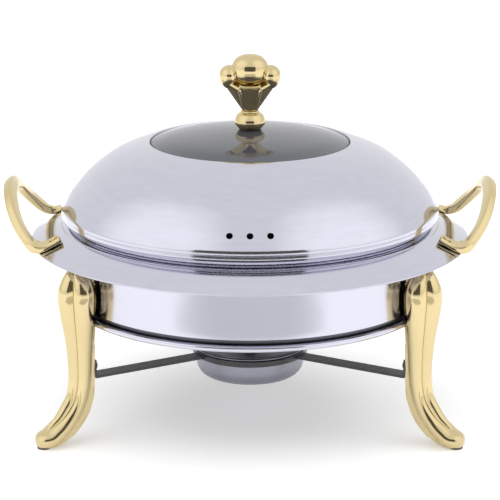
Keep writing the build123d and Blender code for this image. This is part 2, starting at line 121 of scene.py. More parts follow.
def speckle(tree, scale, detail=4.0, stretch=(1, 1, 1)):
    """A noise over the object's own coordinates; returns the noise node."""
    nodes, links = tree.nodes, tree.links
    place = nodes.new("ShaderNodeTexCoord")
    mapping = nodes.new("ShaderNodeMapping")
    mapping.inputs["Scale"].default_value = stretch
    texture = nodes.new("ShaderNodeTexNoise")
    texture.inputs["Scale"].default_value = scale
    texture.inputs["Detail"].default_value = detail
    links.new(place.outputs["Object"], mapping.inputs["Vector"])
    links.new(mapping.outputs["Vector"], texture.inputs["Vector"])
    return texture


def vary(tree, source, socket, low, high):
    """Drive a number socket between two values with a noise."""
    ranged = tree.nodes.new("ShaderNodeMapRange")
    ranged.inputs["From Min"].default_value = 0.3
    ranged.inputs["From Max"].default_value = 0.7
    ranged.inputs["To Min"].default_value = low
    ranged.inputs["To Max"].default_value = high
    tree.links.new(source.outputs["Fac"], ranged.inputs["Value"])
    tree.links.new(ranged.outputs["Result"], socket)


def tint(tree, source, socket, first, second):
    """Drive a colour socket between two colours with a noise."""
    ramp = tree.nodes.new("ShaderNodeValToRGB")
    ramp.color_ramp.elements[0].position = 0.3
    ramp.color_ramp.elements[1].position = 0.7
    ramp.color_ramp.elements[0].color = (*first, 1)
    ramp.color_ramp.elements[1].color = (*second, 1)
    tree.links.new(source.outputs["Fac"], ramp.inputs["Fac"])
    tree.links.new(ramp.outputs["Color"], socket)


def ripple(tree, source, shader, strength, distance):
    """Give a shader a fine bump from a noise."""
    bump = tree.nodes.new("ShaderNodeBump")
    bump.inputs["Strength"].default_value = strength
    bump.inputs["Distance"].default_value = distance
    tree.links.new(source.outputs["Fac"], bump.inputs["Height"])
    tree.links.new(bump.outputs["Normal"], shader.inputs["Normal"])


def shade(colour_value, factor):
    """A lighter or darker copy of a colour."""
    return tuple(min(1.0, part * factor) for part in colour_value)


def polished_steel(colours):
    """Mirror polish with a trace of the polishing wheel."""
    material, tree, shader = new_finish("polished_steel")
    shader.inputs["Metallic"].default_value = 1.0
    wheel = speckle(tree, 60, 6, (1, 1, 6))
    vary(tree, wheel, shader.inputs["Roughness"], 0.075, 0.125)
    tint(tree, wheel, shader.inputs["Base Color"], shade(colours.steel, 0.97), shade(colours.steel, 1.02))
    ripple(tree, speckle(tree, 9, 2), shader, 0.06, 0.0006)
    return material


def brushed_wall(colours):
    """The pan's wall, polished less, with fine lines round it."""
    material, tree, shader = new_finish("brushed_wall")
    shader.inputs["Metallic"].default_value = 1.0
    lines = speckle(tree, 420, 4, (0.08, 0.08, 6))
    vary(tree, lines, shader.inputs["Roughness"], 0.16, 0.21)
    tint(tree, lines, shader.inputs["Base Color"], shade(colours.steel, 0.99), shade(colours.steel, 1.01))
    ripple(tree, lines, shader, 0.015, 0.0001)
    return material


def painted_shade_steel(colours):
    """The pan's base, painted dark grey: painted shade and painted reflection of the shadow and dark ring
    under the pan.
    """
    material, tree, shader = new_finish("painted_shade_steel")
    shader.inputs["Metallic"].default_value = 1.0
    shade_mottle = speckle(tree, 30, 5)
    vary(tree, shade_mottle, shader.inputs["Roughness"], 0.26, 0.36)
    tint(tree, shade_mottle, shader.inputs["Base Color"], shade(colours.steel, 0.14), shade(colours.steel, 0.20))
    return material


def turned_satin(colours):
    """Satin stainless steel with turned lines."""
    material, tree, shader = new_finish("turned_satin")
    shader.inputs["Metallic"].default_value = 1.0
    lines = speckle(tree, 320, 5, (0.15, 0.15, 5))
    vary(tree, lines, shader.inputs["Roughness"], 0.26, 0.40)
    tint(tree, lines, shader.inputs["Base Color"], shade(colours.satin, 0.92), shade(colours.satin, 1.06))
    ripple(tree, lines, shader, 0.12, 0.0002)
    return material


def polished_gold(colours):
    """Gold plate over a polished casting, a little uneven in depth."""
    material, tree, shader = new_finish("polished_gold")
    shader.inputs["Metallic"].default_value = 1.0
    cloud = speckle(tree, 26, 5)
    vary(tree, cloud, shader.inputs["Roughness"], 0.07, 0.13)
    tint(tree, cloud, shader.inputs["Base Color"], shade(colours.gold, 0.96), shade(colours.gold, 1.03))
    ripple(tree, speckle(tree, 70, 3), shader, 0.07, 0.0003)
    return material


def smoke_glass(colours):
    """Tinted tempered glass."""
    material, tree, shader = new_finish("smoke_glass")
    film = speckle(tree, 18, 4)
    tint(tree, film, shader.inputs["Base Color"], shade(colours.glass, 0.96), shade(colours.glass, 1.04))
    vary(tree, film, shader.inputs["Roughness"], 0.015, 0.035)
    shader.inputs["IOR"].default_value = 1.5
    shader.inputs["Transmission Weight"].default_value = 0.75
    return material


def black_enamel(colours):
    """Baked black enamel with a slight orange peel."""
    material, tree, shader = new_finish("black_enamel")
    peel = speckle(tree, 420, 3)
    vary(tree, peel, shader.inputs["Roughness"], 0.30, 0.44)
    tint(tree, peel, shader.inputs["Base Color"], shade(colours.enamel, 0.85), shade(colours.enamel, 1.3))
    ripple(tree, peel, shader, 0.25, 0.0003)
    shader.inputs["Coat Weight"].default_value = 0.35
    shader.inputs["Coat Roughness"].default_value = 0.18
    return material


def dark_silicone(colours):
    """Moulded silicone of the seals."""
    material, tree, shader = new_finish("dark_silicone")
    grain = speckle(tree, 500, 3)
    vary(tree, grain, shader.inputs["Roughness"], 0.48, 0.62)
    tint(tree, grain, shader.inputs["Base Color"], shade(colours.rubber, 0.9), shade(colours.rubber, 1.2))
    ripple(tree, grain, shader, 0.2, 0.0002)
    return material


def mineral_fibre(colours):
    """The loose fibre of the wick."""
    material, tree, shader = new_finish("mineral_fibre")
    fibre = speckle(tree, 300, 8, (1, 1, 3))
    vary(tree, fibre, shader.inputs["Roughness"], 0.85, 0.98)
    tint(tree, fibre, shader.inputs["Base Color"], shade(colours.wick, 0.7), shade(colours.wick, 1.1))
    ripple(tree, fibre, shader, 0.8, 0.001)
    return material


def pressed_felt(colours):
    """The felt under the feet."""
    material, tree, shader = new_finish("pressed_felt")
    fibre = speckle(tree, 900, 8)
    vary(tree, fibre, shader.inputs["Roughness"], 0.9, 1.0)
    tint(tree, fibre, shader.inputs["Base Color"], shade(colours.felt, 0.7), shade(colours.felt, 1.4))
    ripple(tree, fibre, shader, 0.7, 0.0005)
    shader.inputs["Sheen Weight"].default_value = 0.3
    return material


FINISHES = {
    "polished_steel": polished_steel,
    "brushed_wall": brushed_wall,
    "painted_shade_steel": painted_shade_steel,
    "turned_satin": turned_satin,
    "polished_gold": polished_gold,
    "smoke_glass": smoke_glass,
    "black_enamel": black_enamel,
    "dark_silicone": dark_silicone,
    "mineral_fibre": mineral_fibre,
    "pressed_felt": pressed_felt,
}


def finish_of(context, name):
    """The named finish, made the first time it is asked for."""
    return bpy.data.materials.get(name) or FINISHES[name](context.scene.chafing_colours)


# ---- mesh tools -------------------------------------------------------------------------------


def spline(points, count):
    """Points along a smooth curve through the given points."""
    ends = [2 * points[0] - points[1], *points, 2 * points[-1] - points[-2]]
    spans = len(points) - 1
    result = []
    for step in range(count):
        place = spans * step / (count - 1)
        i = min(int(place), spans - 1)
        t = place - i
        a, b, c, d = ends[i:i + 4]
        square = (2 * a - 5 * b + 4 * c - d) * t * t
        cube = (3 * b - a - 3 * c + d) * t ** 3
        result.append(0.5 * (2 * b + (c - a) * t + square + cube))
    return result


def rounded(corners, steps=8):
    """A profile through corners (radius, height, rounding), in millimetres, with arcs at the corners."""
    points = [Vector((r, z)) for r, z, _ in corners]
    path = [points[0]]
    for i in range(1, len(points) - 1):
        before = (points[i - 1] - points[i]).normalized()
        after = (points[i + 1] - points[i]).normalized()
        angle = before.angle(after)
        if corners[i][2] == 0 or angle > pi - 0.01:
            path.append(points[i])
            continue
        reach = corners[i][2] / tan(angle / 2)
        middle = points[i] + (before + after).normalized() * (corners[i][2] / sin(angle / 2))
        start = points[i] + before * reach - middle
        end = points[i] + after * reach - middle
        sweep = start.angle_signed(end)
        for step in range(steps + 1):
            turn = -sweep * step / steps
            path.append(middle + Matrix.Rotation(turn, 2) @ start)
    path.append(points[-1])
    return path


def filled(path, gap):
    """The same profile with no stretch longer than the gap, in millimetres."""
    result = [path[0]]
    for a, b in zip(path, path[1:]):
        pieces = max(1, round((b - a).length / gap))
        result += [a.lerp(b, (i + 1) / pieces) for i in range(pieces)]
    return result


def piece(name, vertices, faces, material, crease=38):
    """A mesh object with smooth shading and sharp edges past the crease angle."""
    mesh = bpy.data.meshes.new(name)
    mesh.from_pydata(vertices, [], faces)
    mesh.validate()
    tidy = bmesh.new()
    tidy.from_mesh(mesh)
    bmesh.ops.remove_doubles(tidy, verts=tidy.verts, dist=1e-7)
    bmesh.ops.recalc_face_normals(tidy, faces=tidy.faces)
    tidy.to_mesh(mesh)
    tidy.free()
    thing = bpy.data.objects.new(name, mesh)
    bpy.context.scene.collection.objects.link(thing)
    mesh.materials.append(material)
    smooth(mesh, crease)
    return thing


def smooth(mesh, crease):
    """Smooth shading, with sharp edges past the crease angle in degrees."""
    mesh.polygons.foreach_set("use_smooth", [True] * len(mesh.polygons))
    mesh.set_sharp_from_angle(angle=radians(crease))


def settle(thing, crease=38):
    """Apply every modifier on the object to its mesh."""
    graph = bpy.context.evaluated_depsgraph_get()
    mesh = bpy.data.meshes.new_from_object(thing.evaluated_get(graph))
    thing.modifiers.clear()
    old = thing.data
    thing.data = mesh
    bpy.data.meshes.remove(old)
    mesh.name = thing.name
    smooth(mesh, crease)


def spun(name, profile, material, steps=256, closed=False, crease=38):
    """Turn a profile in millimetres about the axis. A closed profile ends where it starts."""
    vertices, faces, rows = [], [], []
    for point in profile:
        if point.x < 1e-4:
            rows.append([len(vertices)] * steps)
            vertices.append((0, 0, point.y * MM))
            continue
        rows.append(list(range(len(vertices), len(vertices) + steps)))
        for step in range(steps):
            turn = 2 * pi * step / steps
            vertices.append((point.x * cos(turn) * MM, point.x * sin(turn) * MM, point.y * MM))
    pairs = list(zip(rows, rows[1:]))
    if closed:
        pairs.append((rows[-1], rows[0]))
    for lower, upper in pairs:
        for step in range(steps):
            after = (step + 1) % steps
            corners = [lower[step], lower[after], upper[after], upper[step]]
            corners = [c for i, c in enumerate(corners) if c not in corners[:i]]
            if len(corners) > 2:
                faces.append(corners)
    return piece(name, vertices, faces, material, crease)


def thickened(thing, thickness, crease=38):
    """Give a sheet its thickness, on the inner side of its normals."""
    solid = thing.modifiers.new("sheet", "SOLIDIFY")
    solid.thickness = thickness
    solid.offset = -1
    solid.use_even_offset = True
    settle(thing, crease)


def face_outwards(thing, test):
    """Turn the normals over if the test, given a polygon, says they point the wrong way."""
    votes = sum(1 if test(polygon) else -1 for polygon in thing.data.polygons)
    if votes < 0:
        thing.data.flip_normals()


def lofted(name, rings, material, crease=38):
    """Skin closed rings of points, in millimetres, and close both ends."""
    count = len(rings[0])
    vertices = [tuple(point * MM) for ring in rings for point in ring]
    faces = []
    for row in range(len(rings) - 1):
        lower, upper = row * count, (row + 1) * count
        for i in range(count):
            after = (i + 1) % count
            faces.append((lower + i, lower + after, upper + after, upper + i))
    for row in (0, len(rings) - 1):
        centre = len(vertices)
        middle = sum(rings[row], Vector((0, 0, 0))) / count
        vertices.append(tuple(middle * MM))
        for i in range(count):
            faces.append((row * count + i, row * count + (i + 1) % count, centre))
    return piece(name, vertices, faces, material, crease)


def tube(name, points, radii, material, sides=20):
    """A round bar along points in millimetres, with a radius at each point."""
    rings = []
    for i, point in enumerate(points):
        along = (points[min(i + 1, len(points) - 1)] - points[max(i - 1, 0)]).normalized()
        across = along.cross(Vector((0, 0, 1)) if abs(along.z) < 0.9 else Vector((1, 0, 0))).normalized()
        other = along.cross(across)
        rings.append([
            point + (across * cos(2 * pi * s / sides) + other * sin(2 * pi * s / sides)) * radii[i]
            for s in range(sides)
        ])
    return lofted(name, rings, material)


def fused(name, parts, voxel, passes, crease=50):
    """Melt overlapping solids into one casting."""
    whole = bmesh.new()
    for part in parts:
        whole.from_mesh(part.data)
    mesh = bpy.data.meshes.new(name)
    whole.to_mesh(mesh)
    whole.free()
    mesh.materials.append(parts[0].data.materials[0])
    for part in parts:
        bpy.data.objects.remove(part)
    thing = bpy.data.objects.new(name, mesh)
    bpy.context.scene.collection.objects.link(thing)
    remesh = thing.modifiers.new("melt", "REMESH")
    remesh.mode = "VOXEL"
    remesh.voxel_size = voxel * MM
    relax = thing.modifiers.new("relax", "SMOOTH")
    relax.factor = 0.5
    relax.iterations = passes
    settle(thing, crease)
    return thing


def place(thing, body, slot, *nodes):
    """Put a finished piece on its body and hide the CAD nodes it stands for; the slot is not used."""
    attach(thing, body)
    if nodes:
        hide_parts(*nodes)
    return thing


def coat(context, finish, *nodes):
    """Give CAD nodes a finish, keeping their shape."""
    for node in nodes:
        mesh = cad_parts[node].data
        mesh.materials.clear()
        mesh.materials.append(finish_of(context, finish))


# ---- lid ----------------------------------------------------------------------------------------

VENT_ANGLES = (-96, -90, -84)
VENT_HEIGHT = 193.6
LID_STEPS = 540
VENT_SQUARE = 4          # cells from a vent's middle to the edge of its patch
VENT_CELLS = 2           # cells from its middle to the rim of the hole
VENT_SPREAD = 0.42       # how much wider each ring round the hole is, as a share of the hole
WELL_GAP = 0.9           # between the glass and the side of its well
# The dome from its shoulder to the window: radius and height.
DOME = [(158.1, 179.0), (157.6, 182.0), (155.9, 185.0), (150.6, 193.0), (143.9, 201.0), (136.2, 209.0),
        (126.4, 217.0), (115.8, 224.0), (105.1, 229.0), (93.5, 233.0), (86.4, 235.0)]


def lid_profile(window):
    """The lid's outside, from the lip under the hem to the ledge under the glass."""
    hem = rounded([
        (151.4, 175.2, 0), (154.9, 175.2, 0.4), (155.4, 173.5, 0.4), (156.8, 173.5, 0.9),
        (157.7, 175.6, 1.0),
        (157.3, 178.3, 0.6), (156.9, 178.5, 0.15), (157.9, 178.7, 0.2), (158.1, 179.0, 0)], 5)
    dome = spline([Vector(point) for point in DOME], 61)[1:]
    edge = window / MM + WELL_GAP
    well = rounded([
        (86.4, 235.0, 0), (edge + 0.9, 235.5, 0.7), (edge, 234.6, 0.7), (edge, 229.7, 0.6),
        (edge - 7.0, 229.7, 0)], 5)[1:]
    return hem, dome, well


def vent_patch(profile, vertices, steps, vent):
    """Turn the grid round each vent into rings, and say which faces to leave out."""
    outer = [i for i, point in enumerate(profile) if point.x >= 100]
    row = min(outer, key=lambda i: abs(profile[i].y - VENT_HEIGHT))
    travel = [0.0]
    for a, b in zip(profile, profile[1:]):
        travel.append(travel[-1] + (b - a).length)
    radius = profile[row].x
    holes = set()
    for angle in VENT_ANGLES:
        column = round(angle % 360 * steps / 360)
        for j in range(-VENT_SQUARE + 1, VENT_SQUARE):
            for i in range(-VENT_SQUARE + 1, VENT_SQUARE):
                ring = max(abs(i), abs(j))
                if ring < VENT_CELLS:
                    continue
                turn = atan2(j, i)
                cell = 2 * pi / steps * radius
                square = Vector((i * cell, travel[row + j] - travel[row]))
                spread = 1 + VENT_SPREAD * (ring - VENT_CELLS)
                circle = Vector((cos(turn), sin(turn))) * (vent / MM) * spread
                mix = (ring - VENT_CELLS) / (VENT_SQUARE - VENT_CELLS)
                spot = circle.lerp(square, mix * mix)
                along = travel[row] + spot.y
                k = next(n for n in range(1, len(travel)) if travel[n] >= along)
                part = (along - travel[k - 1]) / (travel[k] - travel[k - 1])
                on = profile[k - 1].lerp(profile[k], part)
                bearing = 2 * pi * column / steps + spot.x / radius
                index = (row + j) * steps + (column + i) % steps
                vertices[index] = (on.x * cos(bearing) * MM, on.x * sin(bearing) * MM, on.y * MM)
        for j in range(-VENT_CELLS, VENT_CELLS):
            for i in range(-VENT_CELLS, VENT_CELLS):
                holes.add((row + j, (column + i) % steps))
    return holes


class CHAFING_OT_lid(bpy.types.Operator):
    """Build the lid's dome with its rolled hem, three vents and the well for the glass"""

    bl_idname = "chafing.lid"
    bl_label = "Lid"

    def execute(self, context):
        sizes = context.scene.chafing_sizes
        hem, dome, well = lid_profile(sizes.window)
        profile = hem + dome + well
        vertices, faces = [], []
        for point in profile:
            for step in range(LID_STEPS):
                turn = 2 * pi * step / LID_STEPS
                vertices.append((point.x * cos(turn) * MM, point.x * sin(turn) * MM, point.y * MM))
        holes = vent_patch(profile, vertices, LID_STEPS, sizes.vent)
        for row in range(len(profile) - 1):
            for step in range(LID_STEPS):
                if (row, step) in holes:
                    continue
                after = (step + 1) % LID_STEPS
                low, high = row * LID_STEPS, (row + 1) * LID_STEPS
                faces.append((low + step, low + after, high + after, high + step))
        lid = piece("lid_dome", vertices, faces, finish_of(context, "polished_steel"))
        face_outwards(lid, lambda p: p.normal.dot(p.center - Vector((0, 0, 0.12))) > 0)
        thickened(lid, sizes.lid_sheet)
        place(lid, "lid", "mirror_steel", "lid_shell")
        return {"FINISHED"}


GLASS_CROWN = ((4.5, 0), (24, 0.8), (47, 2.8), (66.4, 5.8))      # radius and drop below its top


class CHAFING_OT_window(bpy.types.Operator):
    """Build the domed window glass and finish its seal"""

    bl_idname = "chafing.window"
    bl_label = "Window"

    def execute(self, context):
        sizes = context.scene.chafing_sizes
        edge, top, thick = sizes.window / MM, GLASS_BOX[1].z / MM, sizes.glass / MM
        crown = [Vector((radius, top - drop)) for radius, drop in (*GLASS_CROWN, (edge - 1.2, 9.9))]
        over = spline(crown, 40)
        over += rounded([(edge - 1.2, top - 9.9, 0), (edge, top - 10.4, 0.8), (edge, top - 14.2, 0)], 6)[1:]
        under = spline([p - Vector((0, thick)) for p in crown], 40)[::-1]
        glass = spun("window_dome", over + under, finish_of(context, "smoke_glass"), 256, closed=True)
        place(glass, "lid", "tinted_glass", "window_glass")
        coat(context, "dark_silicone", "window_gasket", "knob_seal")
        return {"FINISHED"}


# ---- knob ----------------------------------------------------------------------------------------


# The cup's rim, from above: a flat panel in front and behind, and a bow out to each side.
PANEL = 12.2             # from the axis to a panel
PANEL_HALF = 8.8         # half of its width
PANEL_TOP = 280.2
CUP_REACH = 24.2         # from the axis to the end of a side
CUP_TOP = 286.0          # height of the rim there
NECK = 6.4               # radius at the foot of the cup
CUP_SHARES = (0, 0.04, 0.12, 0.25, 0.4, 0.55, 0.7, 0.85, 0.95, 1.0)
BALL_DROP = 13.9         # from the frame's top down to the ball's middle
BALL_DEPTH = 14.0        # the ball from its middle to the front, upwards and downwards
BALL_UPPER = 12.4
BALL_LOWER = 15.0
LOBE_REACH = 17.1
LOBE_HEIGHT = 290.2
LOBE_LOWER = 11.5        # a side lobe from its middle down
LOBE_RADII = (8.4, 10.2, 8.4)
SHELF_HEIGHT = 281.6
RIB_STEPS = 12


def knob_outline(turn):
    """The cup's rim at an angle: radius from the axis and height, in millimetres."""
    side, depth = abs(cos(turn)), abs(sin(turn))
    corner = atan2(PANEL, PANEL_HALF)
    angle = atan2(depth, side)
    if angle >= corner:
        return PANEL / depth, PANEL_TOP
    share = angle / corner
    radius = CUP_REACH + (hypot(PANEL, PANEL_HALF) - CUP_REACH) * share ** 0.85 - 1.6 * sin(pi * share)
    return radius, CUP_TOP - 6.2 * share


def lump(name, centre, radii, material, below=None, power=1.0):
    """A ball stretched by its radii, which may reach further down; powers under 1 make it squarer."""
    rows, columns = 28, 40
    rings = []
    for row in range(1, rows):
        tilt = pi * row / rows - pi / 2
        height = abs(sin(tilt)) ** power * (radii[2] if tilt > 0 else -(below or radii[2]))
        rings.append([
            Vector((
                centre[0] + radii[0] * cos(tilt) ** power * cos(2 * pi * i / columns),
                centre[1] + radii[1] * cos(tilt) ** power * sin(2 * pi * i / columns),
                centre[2] + height,
            ))
            for i in range(columns)
        ])
    return lofted(name, rings, material)


class CHAFING_OT_knob(bpy.types.Operator):
    """Build the crown knob: a ball and two side lobes in a flared cup, over a round collar"""

    bl_idname = "chafing.knob"
    bl_label = "Knob"

    def execute(self, context):
        sizes = context.scene.chafing_sizes
        gold = finish_of(context, "polished_gold")
        foot = KNOB_BOX[0].z / MM
        ball = sizes.ball / MM
        middle = KNOB_BOX[1].z / MM - BALL_DROP
        count = 96
        rings = []
        for share in CUP_SHARES:
            ring = []
            for i in range(count):
                turn = 2 * pi * i / count
                radius, height = knob_outline(turn)
                reach = NECK + (radius - NECK) * share
                ring.append(Vector((reach * cos(turn), reach * sin(turn), foot + (height - foot) * share)))
            rings.append(ring)
        rings.append([Vector((p.x * 0.8, p.y * 0.8, p.z - 0.8)) for p in rings[-1]])
        parts = [lofted("cup", rings, gold)]
        radii = (ball, BALL_DEPTH, BALL_UPPER)
        parts.append(lump("ball", (0, 0, middle), radii, gold, below=BALL_LOWER, power=0.9))
        for side in (-1, 1):
            centre = (side * LOBE_REACH, 0, LOBE_HEIGHT)
            parts.append(lump("lobe", centre, LOBE_RADII, gold, below=LOBE_LOWER))
            rim = []
            for step in range(41):
                turn = (pi / 2 - 0.62) * (step / 20 - 1)
                radius, height = knob_outline(turn)
                inset = radius - 0.5
                rim.append(Vector((side * inset * cos(turn), inset * sin(turn), height + 0.2)))
            parts.append(tube("rim", rim, [1.35] * len(rim), gold, 16))
        for depth in (-1, 1):
            shelf = [
                Vector((x, depth * (12.4 - 0.012 * x * x), SHELF_HEIGHT + 0.004 * x * x))
                for x in range(-9, 10)
            ]
            parts.append(tube("shelf", shelf, [1.5] * len(shelf), gold, 16))
            for side in (-1, 1):
                rib = []
                for step in range(RIB_STEPS + 1):
                    across = side * (5.2 + 3.5 * step / RIB_STEPS)
                    outwards = depth * (4.6 + 7.5 * step / RIB_STEPS)
                    rib.append(Vector((across, outwards, foot + 1 + 17.6 * step / RIB_STEPS)))
                parts.append(tube("rib", rib, [0.95] * len(rib), gold, 12))
        crown = fused("knob_lobes", parts, 0.42, 3)
        place(crown, "lid", "gold_casting", "knob_crown")
        low, high = COLLAR_BOX[0].z / MM, COLLAR_BOX[1].z / MM
        profile = rounded([
            (2.7, low, 0), (9.6, low, 1.0), (10.6, low + 1.2, 1.0)], 4)
        waist = spline([
            Vector((10.6, low + 1.2)), Vector((12.2, low + 3.2)), Vector((12.8, low + 5.2)),
            Vector((12.4, low + 8.0)), Vector((10.6, low + 11.6)), Vector((7.9, high - 1.4))], 30)
        lip = rounded([(7.9, high - 1.4, 0), (8.0, high - 0.8, 0.3), (7.3, high, 0.4), (2.7, high, 0)], 4)
        collar = spun("knob_bun", profile[:-1] + waist + lip[1:], gold, 96, closed=True)
        place(collar, "lid", "gold_casting", "knob_collar")
        coat(context, "turned_satin", "knob_backing_washer", "knob_screw")
        return {"FINISHED"}


# ---- pans ----------------------------------------------------------------------------------------


WALL_INSIDE = 147.5      # radius inside the water pan's wall
FLANGE_CREST = 153.0     # radius where the flange starts to slope
FLANGE_FALL = 0.5        # drop of the flange for each millimetre outwards
PAINTED_SHADE_RISE = 14.2         # how far the painted shade reaches above the pan's base


class CHAFING_OT_water_pan(bpy.types.Operator):
    """Build the water pan with its sloping flange and the faint line round it"""

    bl_idname = "chafing.water_pan"
    bl_label = "Water pan"

    def execute(self, context):
        sizes = context.scene.chafing_sizes
        floor, crest = PAN_BOX[0].z / MM, PAN_BOX[1].z / MM
        edge = sizes.flange / MM
        sheet = sizes.pan_sheet / MM
        outer = edge - 0.5
        turned = crest - FLANGE_FALL * (outer - FLANGE_CREST)
        profile = rounded([
            (0, floor + sheet, 0), (WALL_INSIDE, floor + sheet, 13.0), (WALL_INSIDE, crest, 1.5),
            (FLANGE_CREST, crest, 0.6), (157.3, crest - FLANGE_FALL * 4.3 + 0.14, 0.15),
            (157.8, crest - FLANGE_FALL * 4.8, 0.15),
            (outer, turned, 0.3), (edge - 0.1, turned - 0.7, 0)], 8)
        pan = spun("water_pan_sheet", filled(profile, 5.0), finish_of(context, "polished_steel"), 360)
        pan.data.materials.append(finish_of(context, "brushed_wall"))
        # third slot: the painted shade and painted reflection on the pan's base
        pan.data.materials.append(finish_of(context, "painted_shade_steel"))
        face_outwards(pan, lambda p: p.normal.z > 0)
        thickened(pan, sizes.pan_sheet)
        for polygon in pan.data.polygons:
            reach = hypot(polygon.center.x, polygon.center.y)
            if polygon.center.z < (crest - 2.2) * MM and reach < 149.2 * MM:
                polygon.material_index = 1
            outward = polygon.normal.x * polygon.center.x + polygon.normal.y * polygon.center.y
            # low faces on the outside and underneath take the painted shade, a dark grey standing in for
            # reflected shadow
            if polygon.center.z < (floor + PAINTED_SHADE_RISE) * MM and (outward > 1e-6 or polygon.normal.z < -0.5):
                polygon.material_index = 2
        place(pan, "water_pan", "mirror_steel", "water_pan")
        return {"FINISHED"}


FOOD_WALL = 146.4        # radius outside the food pan's wall
FOOD_SHEET = 0.8
BEAD_FOOT = 170.1        # height of the bead under its rim


class CHAFING_OT_food_pan(bpy.types.Operator):
    """Build the food pan, with its flat rim and the bead that rests on the water pan"""

    bl_idname = "chafing.food_pan"
    bl_label = "Food pan"

    def execute(self, context):
        low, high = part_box("food_pan")
        floor, rim, edge = low.z / MM, high.z / MM, high.x / MM
        under = rim - 1.0
        profile = rounded([
            (0, floor, 0), (FOOD_WALL, floor, 18.0), (FOOD_WALL, under, 0.6), (149.6, under, 0.5),
            (150.1, BEAD_FOOT, 0.6), (152.0, BEAD_FOOT, 0.6), (152.6, under, 0.5), (edge, under, 0.4),
            (edge, rim, 0.4), (FOOD_WALL - FOOD_SHEET, rim, 1.4),
            (FOOD_WALL - FOOD_SHEET, floor + FOOD_SHEET, 17.2), (0, floor + FOOD_SHEET, 0)], 6)
        pan = spun("food_pan_sheet", filled(profile, 6.0), finish_of(context, "polished_steel"), 300)
        place(pan, "food_pan", "mirror_steel", "food_pan")
        return {"FINISHED"}


# ---- handles --------------------------------------------------------------------------------------

# Half of the loop, from its top to the inner end of its foot: along X, along Y, height.
HANDLE_LINE = [
    (199.2, 0, 197.6), (198.9, 11, 196.4), (197.4, 24, 192.6), (193.8, 38.0, 184.0), (188.4, 49.4, 174.8),
    (181.0, 57.4, 165.4), (174.4, 61.2, 160.3), (167.6, 61.8, 160.4), (159.0, 60.8, 164.3),
    (154.0, 59.6, 166.8),
]
HANDLE_LEAN = 53.7       # degrees that the loop leans up from the table
HANDLE_STEPS = 80        # sections in half of the loop
HANDLE_SIDES = 48
PAD_TURN = 20.6          # degrees of each foot from the X axis


def bar_section(half_width, half_thick, ridge, turn):
    """A flattened bar with soft bevels; on the foot it gets lengthwise ridges."""
    across = cos(turn)
    up = sin(turn)
    power = 0.50
    x = half_width * (abs(across) ** power) * (1 if across >= 0 else -1)
    y = half_thick * (abs(up) ** power) * (1 if up >= 0 else -1)
    if up > 0:
        y += ridge * cos(3 * pi * x / half_width) * up ** 0.5
    return x, y


def handle_rings(wide, thick):
    """Rings of the right handle, from one foot to the other."""
    half = spline([Vector(point) for point in HANDLE_LINE], HANDLE_STEPS + 1)
    line = [Vector((p.x, -p.y, p.z)) for p in reversed(half)] + half[1:]
    last = 2 * HANDLE_STEPS
    shares = [abs(i / HANDLE_STEPS - 1) for i in range(last + 1)]
    lean = radians(HANDLE_LEAN)
    slope = atan2(1, 2)
    rings = []
    for i, (point, share) in enumerate(zip(line, shares)):
        along = (line[min(i + 1, last)] - line[max(i - 1, 0)]).normalized()
        away = radians(PAD_TURN) * (1 if point.y > 0 else -1)
        loop_up = Vector((-sin(lean), 0, cos(lean)))
        foot_up = Vector((sin(slope) * cos(away), sin(slope) * sin(away), cos(slope)))
        foot = min(1, max(0, (share - 0.52) / 0.22))
        foot = foot * foot * (3 - 2 * foot)
        normal = loop_up.lerp(foot_up, foot)
        normal = (normal - along * normal.dot(along)).normalized()
        across = along.cross(normal)
        pad = min(1, max(0, (share - 0.68) / 0.16))
        tip = max(0, (share - 0.965) / 0.035)
        shrink = sqrt(max(0.0, 1 - tip * tip * 0.92))
        half_width = (wide + 0.4 * pad) * shrink
        half_thick = (thick - 2.0 * pad + 0.7 * max(0, (share - 0.9) / 0.1)) * (0.35 + 0.65 * shrink)
        ridge = 0.55 * pad * shrink
        ring = []
        for s in range(HANDLE_SIDES):
            x, y = bar_section(half_width, half_thick, ridge, 2 * pi * (s + 0.5) / HANDLE_SIDES)
            ring.append(point + across * x + normal * y)
        rings.append(ring)
    return rings


class CHAFING_OT_handles(bpy.types.Operator):
    """Build both looped handles with their ridged feet, and finish their screws"""

    bl_idname = "chafing.handles"
    bl_label = "Handles"

    def execute(self, context):
        gold = finish_of(context, "polished_gold")
        sizes = context.scene.chafing_sizes
        rings = handle_rings(sizes.bar_width / 2 / MM, sizes.bar_thickness / 2 / MM)
        for name, node, turn in (("loop_right", "handle_right", 0), ("loop_left", "handle_left", pi)):
            spin = Matrix.Rotation(turn, 3, "Z")
            handle = lofted(name, [[spin @ p for p in ring] for ring in rings], gold, 50)
            place(handle, "water_pan", "gold_casting", node)
        coat(context, "turned_satin", "handle_screws", "handle_washers")
        return {"FINISHED"}


# ---- stand ------------------------------------------------------------------------------------------

